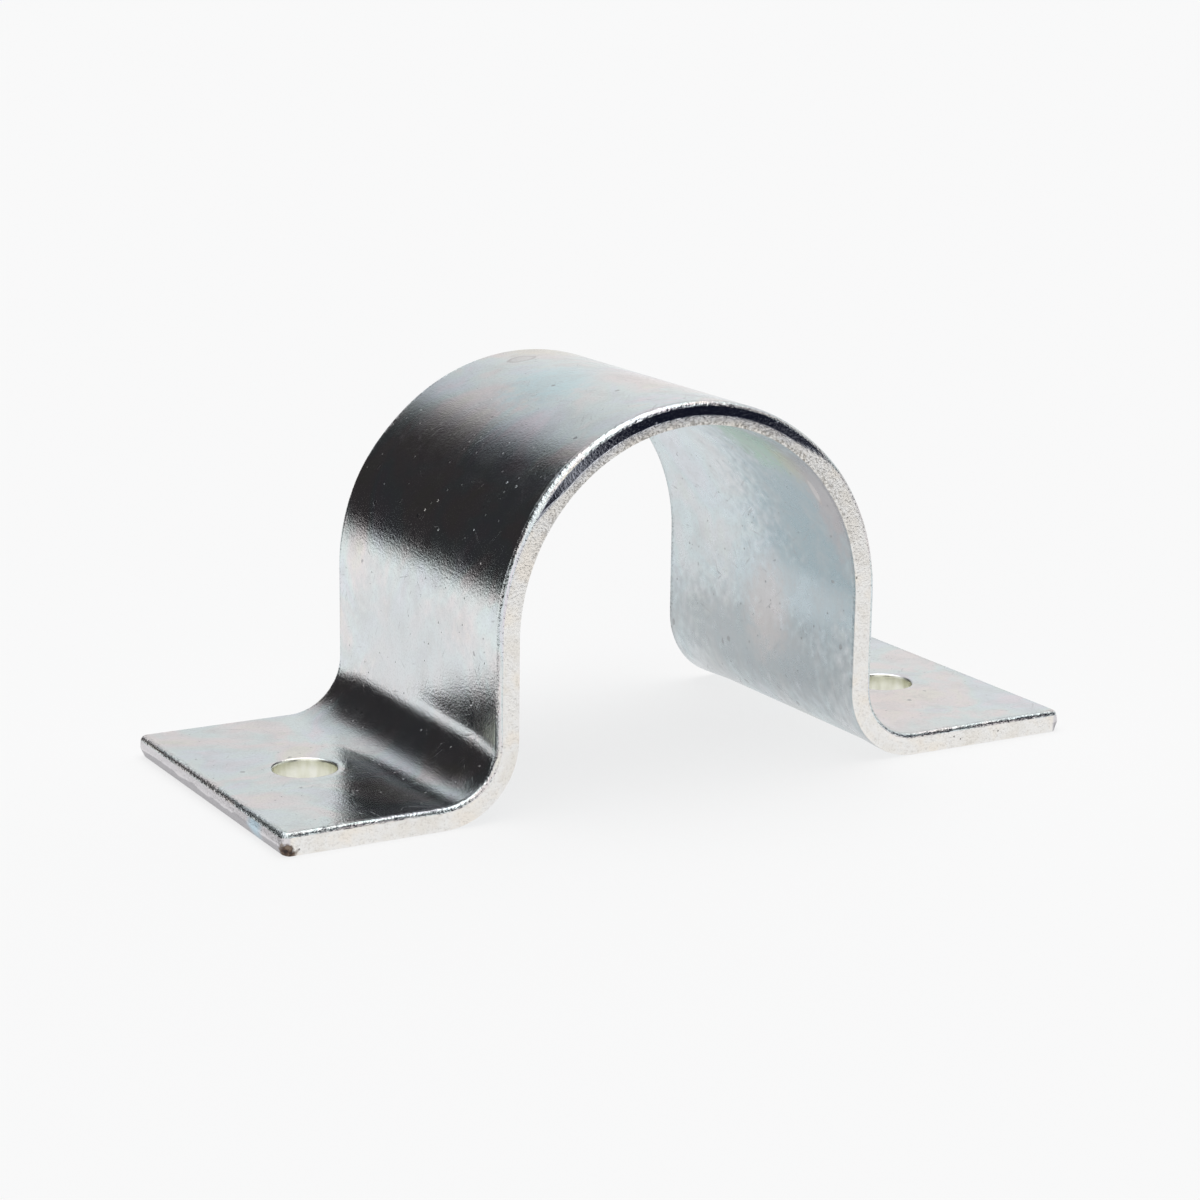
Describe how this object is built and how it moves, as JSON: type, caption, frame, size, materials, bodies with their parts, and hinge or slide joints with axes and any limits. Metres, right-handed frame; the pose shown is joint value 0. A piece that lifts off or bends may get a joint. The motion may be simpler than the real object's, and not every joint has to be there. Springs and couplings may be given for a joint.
{
  "type": "conduit strap",
  "caption": "Two-hole strap folded from one plated steel strip: a round arch holds a conduit down and a flat foot at each side takes a screw.",
  "frame": {"origin": "on the mounting surface, midway between the two screw holes", "axes": "+X along the strip from foot to foot, +Y along the conduit, +Z away from the mounting surface"},
  "size_m": [0.0994, 0.04, 0.043],
  "materials": {
    "zinc_plated_steel": "bright zinc plate with a faint clear blue passivation, lightly scratched and stained"
  },
  "bodies": {
    "root": {"strap": "zinc_plated_steel"}
  },
  "joints": []
}
